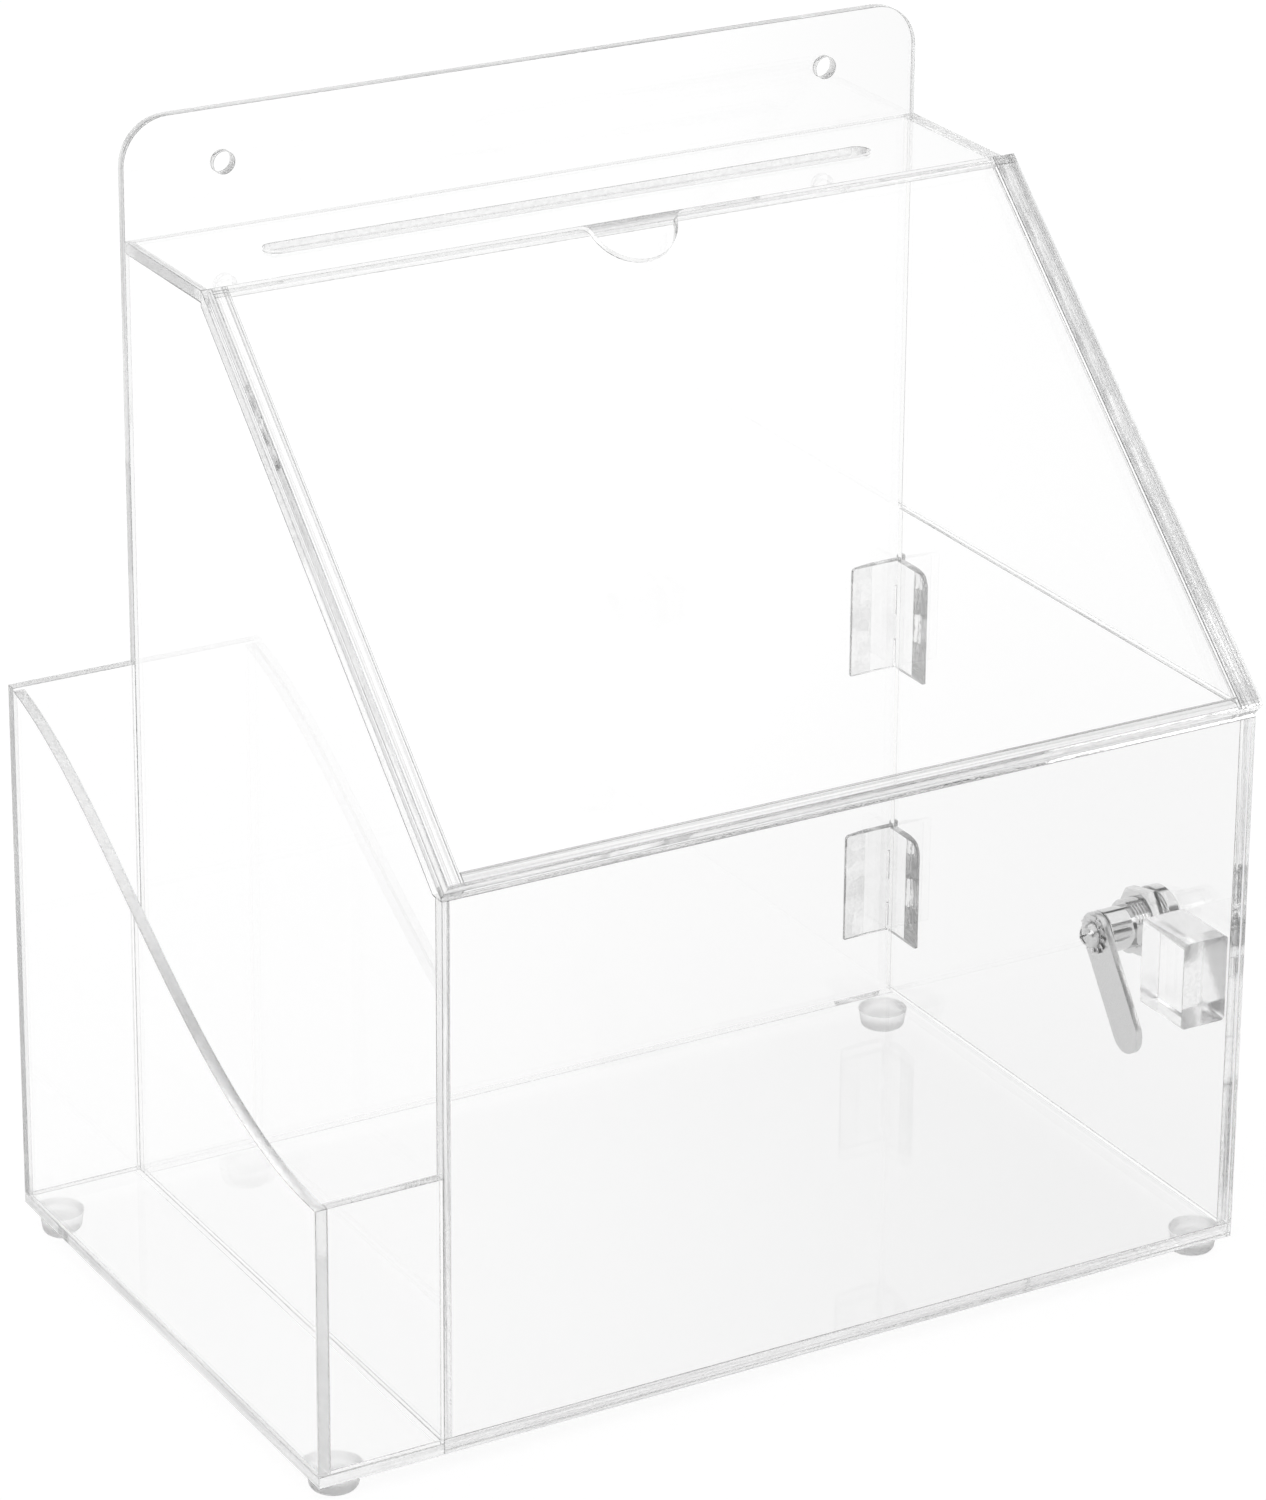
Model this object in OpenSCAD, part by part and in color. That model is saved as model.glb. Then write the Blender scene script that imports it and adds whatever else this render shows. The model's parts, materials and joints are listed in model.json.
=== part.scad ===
// Clear acrylic ballot box with a sloped sign holder, a side pocket and a lockable side door.
// The panels are drawn in box coordinates: x = 0 at the left face of the main box, y = 0 at its
// front face and z = 0 under the base. place() then moves each piece so that the origin is the
// middle of the whole outline, at the level that the feet stand on.

/* [Main box] */
// Width of the main box
box_w = 300; // [240:5:400]
// Depth of the main box, from the front face to the back face
box_d = 220; // [200:5:300]
// Thickness of the acrylic sheet that the panels are cut from
sheet_t = 4; // [3:0.5:5]
// Height of the front panel
front_h = 190; // [160:5:220]
// Height of the top panel's upper face
top_h = 337; // [290:1:380]
// Depth of the flat top, from the front edge of the top panel to the back face
top_d = 60; // [50:1:80]
// Height of the back panel above the top panel
header_h = 40; // [35:1:80]
// Radius of the back panel's upper corners
header_r = 16; // [5:1:30]

/* [Ballot slot] */
// Distance from each side face to the end of the slot
slot_edge = 36; // [20:1:60]
// Width of the slot
slot_w = 8.5; // [6:0.5:12]

/* [Wall mounting holes] */
// Diameter of the screw holes in the back panel
hole_d = 7.5; // [4:0.5:10]
// Distance from each side face to the centre of its hole
hole_edge = 36; // [20:1:60]
// Distance from the top of the back panel to the centres of the holes
hole_drop = 19; // [12:1:25]

/* [Sign holder] */
// Thickness of the cover sheet
cover_t = 4; // [3:0.5:5]
// Distance from the foot of the slope to the cover sheet
cover_inset = 1; // [0:0.5:3]
// Distance from the top of the slope to the cover sheet
cover_top_in = 3.5; // [0:0.5:6]
// Thickness of the strips that hold the cover sheet off the slope
spacer_t = 3; // [2:0.5:4]
// Width of the strips at the sides
spacer_w = 7; // [5:0.5:10]
// Height of the strip along the bottom
spacer_h = 5.5; // [4:0.5:8]
// Radius of the thumb notch
notch_r = 16; // [12:0.5:20]
// Depth of the thumb notch
notch_depth = 15.6; // [14:0.1:24]
// How far the notch lies to the right of the middle
notch_shift = 1.8; // [-5:0.1:5]
// Radius of the round corners where the notch meets the sheet's top edge
notch_fillet = 4; // [2:0.5:6]

/* [Side pocket] */
// Width of the pocket outside the main box
pocket_w = 44; // [30:1:80]
// Height of the pocket's back
pocket_back_h = 190; // [150:5:210]
// Height of the pocket's front
pocket_front_h = 96.5; // [60:0.5:120]
// How far the curve of the side keeps its direction at the back
curve_back_reach = 68; // [40:1:90]
// How far the curve has dropped over that distance
curve_back_drop = 12; // [0:1:30]
// How far the curve stays level at the front
curve_front_reach = 88; // [50:1:100]

/* [Feet] */
// Diameter of a foot at the base
foot_d = 17.5; // [12:0.5:17.5]
// Diameter of a foot at the bottom
foot_tip_d = 16; // [8:0.5:16]
// Height of a foot
foot_h = 6.7; // [5:0.1:14]
// Distance from the base's front edge to the centres of the front feet
foot_front_in = 10.5; // [9:0.1:20]
// Distance from the base's back edge to the centres of the back feet
foot_back_in = 13.3; // [9:0.1:20]
// Distance from the base's left edge to the centre of the front left foot
foot_front_left_in = 10.5; // [9:0.1:20]
// Distance from the base's left edge to the centre of the back left foot
foot_back_left_in = 9; // [9:0.1:20]
// Distance from the base's right edge to the centre of the front right foot
foot_front_right_in = 9; // [9:0.1:20]
// Distance from the base's right edge to the centre of the back right foot
foot_back_right_in = 10.8; // [9:0.1:20]
// Radius of a foot's bottom edge
foot_r = 2; // [0.5:0.5:3]

/* [Door] */
// Gap round the door
door_gap = 0.7; // [0.5:0.1:1.5]

/* [Hinges] */
// Distance from the top or bottom of the door to the middle of a hinge
hinge_inset = 42; // [30:1:55]
// Width of a leaf, from the corner of the box
leaf_w = 20.5; // [16:0.5:30]
// Height of a leaf
leaf_h = 41; // [30:1:50]
// Thickness of a leaf, which is also the radius of its knuckles
leaf_t = 3; // [2.5:0.1:4]
// Thickness of a leaf at its bevelled outer edge
leaf_edge_t = 1.4; // [0.8:0.1:2]
// Width of the bevelled strip
leaf_bevel_w = 9; // [6:0.5:12]
// Radius of the upper outer corner of a leaf on the box
box_leaf_r = 1.5; // [0.5:0.5:5]
// Radius of the upper outer corner of a leaf on the door
door_leaf_r = 5; // [0.5:0.5:6]
// Distance from the pin to a leaf's edge beside the other leaf's knuckles
knuckle_notch = 5; // [4:0.1:6]
// Gap between the moving pieces of a hinge
leaf_gap = 0.4; // [0.3:0.1:0.6]
// Diameter of the hinge pin
pin_d = 2; // [1.5:0.1:2.5]
// Radial play of the pin in the knuckles
pin_fit = 0.05; // [0.02:0.01:0.1]
// Diameter of the pin's head
pin_head_d = 5; // [4:0.5:6]
// Height of the pin's head
pin_head_h = 1.5; // [1:0.1:2.5]

/* [Lock] */
// Distance from the front face to the axis of the lock
lock_y = 52; // [50:0.5:80]
// Height of the lock's axis above the underside of the base
lock_z = 97.5; // [80:0.5:110]
// Diameter of the round head outside the door
head_d = 23.5; // [21:0.5:30]
// Thickness of the head
head_t = 5.5; // [3:0.5:6]
// Width of the bevel round the head
head_bevel = 1.5; // [0.5:0.1:2]
// Diameter of the threaded barrel
barrel_d = 18.6; // [17:0.1:20]
// Length of the threaded barrel inside the door
barrel_l = 10; // [8:0.5:13]
// Width across the barrel's two flats
barrel_flat_w = 16.4; // [15.5:0.1:17]
// Diameter of the smooth neck between the thread and the cam
neck_d = 15.2; // [14.8:0.1:16]
// Radial play of the barrel in the door and in its nut
barrel_fit = 0.1; // [0.05:0.01:0.3]
// Width of the nut across its flats
nut_w = 22.8; // [22:0.1:25]
// Thickness of the nut
nut_t = 4.5; // [3:0.5:7]
// Angle at which the nut has come to rest
nut_turn = 17; // [0:1:59]
// Diameter of the turning plug
plug_d = 11; // [10:0.1:11.5]
// Radial play of the plug in the barrel
plug_fit = 0.1; // [0.05:0.01:0.15]
// Diameter of the plug's front flange
flange_d = 13.6; // [12.5:0.1:15]
// Thickness of the flange
flange_t = 1.4; // [1:0.1:2]
// Length of the keyway
keyway_l = 7.5; // [6:0.5:9]
// Width of the keyway
keyway_w = 1.8; // [1.5:0.1:2.5]
// Depth of the keyway
keyway_depth = 9; // [5:0.5:10]

/* [Cam and catch] */
// Length of the cam from the lock's axis to its tip
cam_l = 42; // [36:0.5:44]
// Width of the cam
cam_w = 15; // [14:0.5:20]
// Thickness of the cam
cam_t = 2.5; // [2:0.1:3]
// Play between the cam and the end of the neck
cam_play = 0.3; // [0.2:0.1:0.5]
// How far the turned-away cam stays clear of the catch block
cam_clear = 2.2; // [2:0.1:4]
// Width of the square end of the plug that drives the cam
square_w = 7; // [6:0.1:7.5]
// Gap round that square in the cam
square_fit = 0.05; // [0.02:0.01:0.1]
// Width of the catch block across the door's plane
catch_w = 17.5; // [12:0.5:19]
// Length of the catch block behind the front panel
catch_l = 24.5; // [20:0.5:26]
// Height of the catch block
catch_h = 31; // [24:0.5:32]
// How far the middle of the catch block lies below the lock's axis
catch_drop = 1; // [0:0.1:3]
// Radius of the catch block's long edges
catch_r = 1.6; // [0.5:0.1:3]
// Gap between the catch block and the door
catch_door_gap = 1.3; // [0.8:0.1:2]
// Gap between the catch block and the cam
catch_cam_gap = 0.7; // [0.4:0.1:1.5]
// Diameter of the cam screw
screw_d = 4; // [3:0.1:4.5]
// Length of the cam screw below its head
screw_l = 11; // [8:0.5:14]
// Diameter of the screw's domed head
screw_head_d = 9; // [7:0.1:9.5]
// Height of the screw's domed head
screw_head_h = 4.2; // [2:0.1:4.5]
// Radial play of the screw in its hole
screw_fit = 0.05; // [0.02:0.01:0.1]
// Diameter of the toothed washer over its teeth
washer_d = 13.5; // [10:0.1:14]
// Thickness of the washer
washer_t = 0.8; // [0.6:0.1:1.2]

/* [Hidden] */
$fn = 96;

// Colours
acrylic_c = [0.93, 0.95, 0.96, 0.45];
hinge_c = [0.88, 0.90, 0.91, 0.7];
silicone_c = [0.85, 0.86, 0.86, 0.8];
chrome_c = [0.80, 0.81, 0.83];
steel_c = [0.70, 0.70, 0.71];

// A cut goes this far past the faces that it opens
cut = 1;

// The inner faces of the box and the height of the whole back panel
inner_y0 = sheet_t;
inner_y1 = box_d - sheet_t;
back_h = top_h + header_h;

// The slope runs from the front panel's top edge to the top panel's front edge
slope_y = box_d - top_d;
slope_rise = top_h - front_h;
slope_a = atan2(slope_rise, slope_y);
slope_l = norm([slope_y, slope_rise]);
slope_under = sheet_t / cos(slope_a);
slope_toe = slope_under / tan(slope_a);

// The ballot slot lies in the middle of the top panel
slot_y = box_d - (top_d + sheet_t) / 2;

// The cover sheet, measured up the slope from the front panel
cover_len = slope_l - cover_inset - cover_top_in;
cover_end = cover_inset + cover_len;

// The door opening
door_z0 = sheet_t + door_gap;
upper_wall_z = front_h + door_gap;

// The hinges' axis stands off the corner by a leaf's thickness both ways
hinge_x = box_w + leaf_t;
hinge_y = box_d + leaf_t;
knuckles = 4;
knuckle_h = (leaf_h - (knuckles - 1) * leaf_gap) / knuckles;

// The catch block and, behind it, the cam
door_in = box_w - sheet_t;
catch_x = door_in - catch_door_gap - catch_w;
cam_x1 = catch_x - catch_cam_gap;
cam_x0 = cam_x1 - cam_t;
barrel_x = door_in - barrel_l;
neck_x = cam_x1 + cam_play;
catch_back = lock_y - inner_y0 - catch_l;
catch_below = catch_h / 2 + catch_drop;

// At rest the cam points forwards and down, turned just far enough to pass below the catch block
cam_rest = atan2(catch_below, catch_back)
    + asin((cam_w / 2 + cam_clear) / norm([catch_below, catch_back]));

// Outline of the whole box, which the origin is taken from
x_min = -pocket_w;
x_max = box_w + max(2 * leaf_t, head_t);
y_min = min(0, cover_inset * cos(slope_a) - (spacer_t + cover_t) * sin(slope_a));
y_max = box_d + 2 * leaf_t;

// Points on a cubic curve, and on an arc about a centre
function bezier(p, t) = pow(1 - t, 3) * p[0] + 3 * pow(1 - t, 2) * t * p[1]
    + 3 * (1 - t) * pow(t, 2) * p[2] + pow(t, 3) * p[3];
function arc(c, r, a0, a1, n) = [for (i = [0:n])
    c + r * [cos(a0 + (a1 - a0) * i / n), sin(a0 + (a1 - a0) * i / n)]];

// Moves a piece from box coordinates to the part's origin
module place() {
    translate([-(x_min + x_max) / 2, -(y_min + y_max) / 2, foot_h]) children();
}

// A sheet parallel to the front: the outline's x and y become x and z
module front_sheet(y, t) {
    translate([0, y + t, 0]) rotate([90, 0, 0]) linear_extrude(t) children();
}

// A sheet parallel to the sides: the outline's x and y become y and z
module side_sheet(x, t) {
    translate([x, 0, 0]) rotate([90, 0, 90]) linear_extrude(t) children();
}

// On the slope, x runs across the box, y up the slope and z away from it
module on_slope() {
    translate([0, 0, front_h]) rotate([slope_a, 0, 0]) children();
}

// On the lock's axis, z points out of the door, y to the back and x down
module on_lock() {
    translate([0, lock_y, lock_z]) rotate([0, 90, 0]) children();
}

// A rectangle with round corners, from its lower left corner
module round_rect(w, h, r) {
    translate([r, 0]) square([w - 2 * r, h]);
    translate([0, r]) square([w, h - 2 * r]);
    for (x = [r, w - r], y = [r, h - r]) translate([x, y]) circle(r);
}

// A strip with round ends, its first end centred on the origin
module stadium(l, w) {
    circle(d = w);
    translate([l, 0]) circle(d = w);
    translate([0, -w / 2]) square([l, w]);
}

// Base of the main box, between the front and back panels
module base_plate() {
    color(acrylic_c) place()
        translate([0, inner_y0, 0]) cube([box_w, inner_y1 - inner_y0, sheet_t]);
}

// Front panel, glued over the front edges of the base and the left wall
module front_panel() {
    color(acrylic_c) place() cube([box_w, sheet_t, front_h]);
}

// Back panel, with round upper corners and two screw holes above the top panel
module back_panel() {
    color(acrylic_c) place() front_sheet(inner_y1, sheet_t) difference() {
        union() {
            square([box_w, back_h - header_r]);
            translate([header_r, 0]) square([box_w - 2 * header_r, back_h]);
            for (x = [header_r, box_w - header_r]) translate([x, back_h - header_r]) circle(header_r);
        }
        for (x = [hole_edge, box_w - hole_edge]) translate([x, back_h - hole_drop]) circle(d = hole_d);
    }
}

// Outline of a side of the box above a given height, under the slope and the top panel
module side_outline(z) {
    top_z = top_h - sheet_t;
    y0 = z < front_h ? inner_y0 : slope_toe + (z - front_h) / tan(slope_a);
    toe = z < front_h ? [[inner_y0, front_h], [slope_toe, front_h]] : [];
    polygon(concat([[y0, z]], toe,
        [[slope_y, top_h - slope_under], [slope_y, top_z], [inner_y1, top_z], [inner_y1, z]]));
}

// Left wall of the main box, which closes the pocket too
module left_wall() {
    color(acrylic_c) place() side_sheet(0, sheet_t) side_outline(sheet_t);
}

// Fixed part of the right wall, above the door
module upper_right_wall() {
    color(acrylic_c) place() side_sheet(door_in, sheet_t) side_outline(upper_wall_z);
}

// Top panel with the ballot slot
module top_panel() {
    slot_l = box_w - 2 * slot_edge;
    color(acrylic_c) place() translate([0, 0, top_h - sheet_t]) linear_extrude(sheet_t) difference() {
        translate([0, slope_y]) square([box_w, inner_y1 - slope_y]);
        translate([slot_edge + slot_w / 2, slot_y]) stadium(slot_l - slot_w, slot_w);
    }
}

// Sloping panel behind the sign, mitred to the front panel and the top panel
module slope_panel() {
    color(acrylic_c) place() side_sheet(0, box_w)
        polygon([[0, front_h], [slope_toe, front_h], [slope_y, top_h - slope_under], [slope_y, top_h]]);
}

// Strip up one side of the sign holder
module side_spacer(x) {
    color(acrylic_c) place() on_slope()
        translate([x, cover_inset, 0]) cube([spacer_w, cover_len, spacer_t]);
}

module left_spacer() {
    side_spacer(0);
}

module right_spacer() {
    side_spacer(box_w - spacer_w);
}

// Strip along the bottom of the sign holder, on which the sign stands
module bottom_spacer() {
    color(acrylic_c) place() on_slope()
        translate([spacer_w, cover_inset, 0]) cube([box_w - 2 * spacer_w, spacer_h, spacer_t]);
}

// Outline of the thumb notch below y = 0: a round bottom that flares out at the edge
module notch_outline() {
    drop = notch_depth - notch_r;
    flare_x = sqrt(pow(notch_r + notch_fillet, 2) - pow(notch_fillet - drop, 2));
    translate([0, -drop]) circle(notch_r);
    difference() {
        translate([-flare_x, -notch_fillet]) square([2 * flare_x, notch_fillet + cut]);
        for (side = [-1, 1]) translate([side * flare_x, -notch_fillet]) circle(notch_fillet);
        for (side = [-1, 1]) translate([side * (flare_x + notch_fillet), -notch_fillet])
            square([2 * notch_fillet, 4 * notch_fillet], center = true);
    }
}

// Cover sheet in front of the sign, with a thumb notch in its top edge
module cover_sheet() {
    color(acrylic_c) place() on_slope() translate([0, 0, spacer_t]) linear_extrude(cover_t) difference() {
        translate([0, cover_inset]) square([box_w, cover_len]);
        translate([box_w / 2 + notch_shift, cover_end]) notch_outline();
    }
}

// Base of the side pocket
module pocket_base() {
    color(acrylic_c) place() translate([-pocket_w, 0, 0]) cube([pocket_w, box_d, sheet_t]);
}

// Side of the pocket, whose top edge sweeps down from the back to the front
module pocket_side() {
    sweep = [[box_d, pocket_back_h], [box_d - curve_back_reach, pocket_back_h - curve_back_drop],
        [curve_front_reach, pocket_front_h], [0, pocket_front_h]];
    curve = [for (i = [0:60]) bezier(sweep, i / 60)];
    color(acrylic_c) place() side_sheet(-pocket_w, sheet_t) intersection() {
        polygon(concat(curve, [[0, sheet_t], [box_d, sheet_t]]));
        square([inner_y1, pocket_back_h]);
    }
}

// Front of the pocket, in line with the front panel
module pocket_front() {
    color(acrylic_c) place() translate([sheet_t - pocket_w, 0, sheet_t])
        cube([pocket_w - sheet_t, sheet_t, pocket_front_h - sheet_t]);
}

// Back of the pocket, in line with the back panel
module pocket_back() {
    color(acrylic_c) place() translate([-pocket_w, inner_y1, sheet_t])
        cube([pocket_w, sheet_t, pocket_back_h - sheet_t]);
}

// Solid block on the front panel that the cam turns behind
module catch_block() {
    color(acrylic_c) place() translate([catch_x, 0, lock_z - catch_below])
        front_sheet(inner_y0, catch_l) round_rect(catch_w, catch_h, catch_r);
}

// Soft foot under the base, tapered towards a rounded bottom edge
module foot(x, y) {
    tip = foot_tip_d / 2;
    side_a = atan2((foot_d - foot_tip_d) / 2, foot_h);
    color(silicone_c) place() translate([x, y, 0]) rotate_extrude()
        polygon(concat([[0, 0], [0, -foot_h]],
            arc([tip - foot_r, foot_r - foot_h], foot_r, -90, -side_a, 6), [[foot_d / 2, 0]]));
}

module foot_front_left() {
    foot(foot_front_left_in - pocket_w, foot_front_in);
}

module foot_front_right() {
    foot(box_w - foot_front_right_in, foot_front_in);
}

module foot_back_left() {
    foot(foot_back_left_in - pocket_w, box_d - foot_back_in);
}

module foot_back_right() {
    foot(box_w - foot_back_right_in, box_d - foot_back_in);
}

// Height of the middle of the upper or lower hinge
function hinge_z(upper) = upper ? front_h - hinge_inset : door_z0 + hinge_inset;

// Moves a piece that is drawn about the hinge's axis to the upper or lower hinge
module on_hinge(upper) {
    translate([hinge_x, hinge_y, hinge_z(upper)]) children();
}

// One leaf on the back face of the box, with every second knuckle from the given one
module hinge_leaf(first, corner_r) {
    reach = leaf_t + leaf_w;
    difference() {
        union() {
            intersection() {
                translate([0, 0, -leaf_h / 2]) linear_extrude(leaf_h)
                    polygon([[-reach, -leaf_t], [-reach, leaf_edge_t - leaf_t],
                        [leaf_bevel_w - reach, 0], [-knuckle_notch, 0], [-knuckle_notch, -leaf_t]]);
                translate([-reach, cut, -leaf_h / 2]) rotate([90, 0, 0])
                    linear_extrude(leaf_t + 2 * cut) polygon(concat([[0, 0], [reach, 0], [reach, leaf_h]],
                        arc([corner_r, leaf_h - corner_r], corner_r, 90, 180, 8)));
            }
            for (i = [first:2:knuckles - 1]) {
                translate([0, 0, i * (knuckle_h + leaf_gap) - leaf_h / 2]) {
                    cylinder(r = leaf_t, h = knuckle_h);
                    translate([-reach / 2, -leaf_t, 0]) cube([reach / 2, leaf_t, knuckle_h]);
                }
            }
        }
        translate([0, 0, -leaf_h / 2 - cut])
            cylinder(d = pin_d + 2 * pin_fit, h = leaf_h + 2 * cut);
    }
}

// Leaf on the back face, which carries the upper knuckle of each pair
module box_leaf(upper) {
    color(hinge_c) place() on_hinge(upper) hinge_leaf(1, box_leaf_r);
}

// Leaf on the door's outer face, across the corner from the other
module door_leaf(upper) {
    color(hinge_c) place() on_hinge(upper) mirror([1, -1, 0]) hinge_leaf(0, door_leaf_r);
}

// Pin through the four knuckles, with a domed head on the top one
module hinge_pin(upper) {
    dome_r = (pow(pin_head_d / 2, 2) + pow(pin_head_h, 2)) / (2 * pin_head_h);
    dome_a = asin(pin_head_d / 2 / dome_r);
    color(hinge_c) place() on_hinge(upper) {
        translate([0, 0, -leaf_h / 2]) cylinder(d = pin_d, h = leaf_h);
        translate([0, 0, leaf_h / 2]) rotate_extrude() polygon(concat([[0, 0]],
            arc([0, pin_head_h - dome_r], dome_r, 90 - dome_a, 90, 6)));
    }
}

module upper_box_leaf() {
    box_leaf(true);
}

module upper_door_leaf() {
    door_leaf(true);
}

module upper_hinge_pin() {
    hinge_pin(true);
}

module lower_box_leaf() {
    box_leaf(false);
}

module lower_door_leaf() {
    door_leaf(false);
}

module lower_hinge_pin() {
    hinge_pin(false);
}

// Door in the lower part of the right side, with a hole for the lock
module door_panel() {
    color(acrylic_c) place() difference() {
        translate([door_in, inner_y0 + door_gap, door_z0])
            cube([sheet_t, inner_y1 - inner_y0 - 2 * door_gap, front_h - door_z0]);
        on_lock() translate([0, 0, door_in - cut])
            cylinder(d = barrel_d + 2 * barrel_fit, h = sheet_t + 2 * cut);
    }
}

// Fixed body of the cam lock: round head, threaded barrel with two flats, and a smooth neck
module lock_body() {
    head_x = box_w + head_t;
    color(chrome_c) place() on_lock() difference() {
        union() {
            translate([0, 0, box_w]) cylinder(d = head_d, h = head_t - head_bevel);
            translate([0, 0, head_x - head_bevel])
                cylinder(d1 = head_d, d2 = head_d - 2 * head_bevel, h = head_bevel);
            intersection() {
                translate([0, 0, barrel_x]) cylinder(d = barrel_d, h = box_w - barrel_x);
                translate([-barrel_d, -barrel_flat_w / 2, barrel_x])
                    cube([2 * barrel_d, barrel_flat_w, box_w - barrel_x]);
            }
            translate([0, 0, neck_x]) cylinder(d = neck_d, h = barrel_x - neck_x);
        }
        translate([0, 0, neck_x - cut])
            cylinder(d = plug_d + 2 * plug_fit, h = head_x - neck_x + 2 * cut);
        translate([0, 0, head_x - flange_t])
            cylinder(d = flange_d + 2 * plug_fit, h = flange_t + cut);
    }
}

// Hexagon nut that clamps the lock to the door, with its corners turned off on the inside
module lock_nut() {
    color(chrome_c) place() on_lock() translate([0, 0, door_in - nut_t]) difference() {
        intersection() {
            rotate([0, 0, nut_turn]) cylinder(d = nut_w / cos(30), h = nut_t, $fn = 6);
            cylinder(r1 = nut_w / 2, r2 = nut_w / 2 + 1.7 * nut_t, h = nut_t);
        }
        translate([0, 0, -cut]) cylinder(d = barrel_d + 2 * barrel_fit, h = nut_t + 2 * cut);
    }
}

// Turning plug with its flange, keyway and the square end that drives the cam
module lock_plug() {
    face_x = box_w + head_t;
    color(chrome_c) place() on_lock() rotate([0, 0, cam_rest]) difference() {
        union() {
            translate([0, 0, cam_x1]) cylinder(d = plug_d, h = face_x - cam_x1);
            translate([0, 0, face_x - flange_t + cam_play])
                cylinder(d = flange_d, h = flange_t - cam_play);
            translate([-square_w / 2, -square_w / 2, cam_x0 + cam_play])
                cube([square_w, square_w, cam_t - cam_play + cut]);
        }
        translate([-keyway_l / 2, -keyway_w / 2, face_x - keyway_depth])
            cube([keyway_l, keyway_w, keyway_depth + cut]);
        translate([0, 0, cam_x0]) cylinder(d = screw_d + 2 * screw_fit, h = screw_l);
    }
}

// Flat cam with round ends, in the turned-away position
module cam() {
    color(steel_c) place() on_lock() translate([0, 0, cam_x0]) rotate([0, 0, cam_rest - 90])
        linear_extrude(cam_t) difference() {
            stadium(cam_l - cam_w / 2, cam_w);
            square(square_w + 2 * square_fit, center = true);
        }
}

// Toothed washer under the head of the cam screw
module cam_washer() {
    teeth = 12;
    color(steel_c) place() on_lock() translate([0, 0, cam_x0 - washer_t]) linear_extrude(washer_t)
        difference() {
            union() {
                circle(d = washer_d - 2);
                for (i = [0:teeth - 1]) rotate(i * 360 / teeth)
                    translate([washer_d / 4, -washer_d / 20]) square([washer_d / 4, washer_d / 10]);
            }
            circle(d = screw_d + 2 * screw_fit);
        }
}

// Cam screw with a domed head and a cross recess
module cam_screw() {
    dome_r = (pow(screw_head_d / 2, 2) + pow(screw_head_h, 2)) / (2 * screw_head_h);
    dome_a = screw_head_h < dome_r ? asin(screw_head_d / 2 / dome_r) : 90;
    recess_l = screw_head_d * 0.55;
    recess_w = screw_d / 5;
    color(steel_c) place() on_lock() translate([0, 0, cam_x0 - washer_t]) {
        cylinder(d = screw_d, h = screw_l);
        mirror([0, 0, 1]) difference() {
            rotate_extrude() polygon(concat([[0, 0]],
                arc([0, screw_head_h - dome_r], dome_r, 90 - dome_a, 90, 8)));
            for (a = [0, 90]) rotate([0, 0, a + cam_rest])
                translate([-recess_l / 2, -recess_w / 2, screw_head_h / 2])
                    cube([recess_l, recess_w, screw_head_h]);
        }
    }
}

base_plate();
front_panel();
back_panel();
left_wall();
upper_right_wall();
top_panel();
slope_panel();
left_spacer();
right_spacer();
bottom_spacer();
cover_sheet();
pocket_base();
pocket_side();
pocket_front();
pocket_back();
catch_block();
foot_front_left();
foot_front_right();
foot_back_left();
foot_back_right();
upper_box_leaf();
upper_door_leaf();
upper_hinge_pin();
lower_box_leaf();
lower_door_leaf();
lower_hinge_pin();
door_panel();
lock_body();
lock_nut();
lock_plug();
cam();
cam_washer();
cam_screw();
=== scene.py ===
"""A clear acrylic ballot box on a white table: the finishes, the glue joints, the light and the camera."""
import json
import logging
import math
from dataclasses import dataclass, field
from enum import Enum

import bmesh
import bpy
from mathutils import Matrix, Vector


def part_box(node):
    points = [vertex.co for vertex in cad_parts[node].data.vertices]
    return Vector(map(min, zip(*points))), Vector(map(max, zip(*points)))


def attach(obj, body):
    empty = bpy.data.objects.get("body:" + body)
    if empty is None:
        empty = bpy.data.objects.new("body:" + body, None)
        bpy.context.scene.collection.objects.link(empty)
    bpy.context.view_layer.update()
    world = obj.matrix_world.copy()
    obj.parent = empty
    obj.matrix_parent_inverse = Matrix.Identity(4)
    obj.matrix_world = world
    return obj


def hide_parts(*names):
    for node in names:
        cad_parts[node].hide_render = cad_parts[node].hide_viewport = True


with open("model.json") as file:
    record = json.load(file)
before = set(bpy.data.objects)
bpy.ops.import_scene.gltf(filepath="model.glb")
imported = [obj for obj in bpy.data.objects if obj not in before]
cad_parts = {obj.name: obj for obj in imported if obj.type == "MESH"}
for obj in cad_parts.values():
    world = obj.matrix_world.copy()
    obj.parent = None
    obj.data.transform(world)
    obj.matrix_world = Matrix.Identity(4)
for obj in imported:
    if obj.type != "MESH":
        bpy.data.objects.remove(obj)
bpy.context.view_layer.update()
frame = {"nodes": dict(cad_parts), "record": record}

LOG = logging.getLogger("ballot_box")
MM = 0.001
EDGE_RUN = "edge_run"
PHOTO_WIDTH_PX = 1266
PHOTO_HEIGHT_PX = 1500


class Edge(Enum):
    """How the narrow faces of a piece were made."""

    AS_FACES = "as the broad faces"
    SAWN = "sawn and scraped"
    POLISHED = "flame polished"
    CLEAR = "flame polished to full gloss"
    HAZED = "flame polished, with a light haze"
    STRIP = "flame polished all round, with streaks of glue"
    GLUED_LEAF = "moulded, with glue under the outer part"
    PIN = "moulded, in the shade of the knuckles"


class Body(Enum):
    """The rigid bodies that pieces ride on."""

    BOX = "box"
    DOOR = "door"
    CAM = "cam"


class Slot(Enum):
    """The record's material slots."""

    ACRYLIC = "clear_acrylic"
    HINGE = "moulded_hinge"
    SILICONE = "silicone"
    NICKEL = "nickel_plate"
    ZINC = "zinc_steel"


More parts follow.
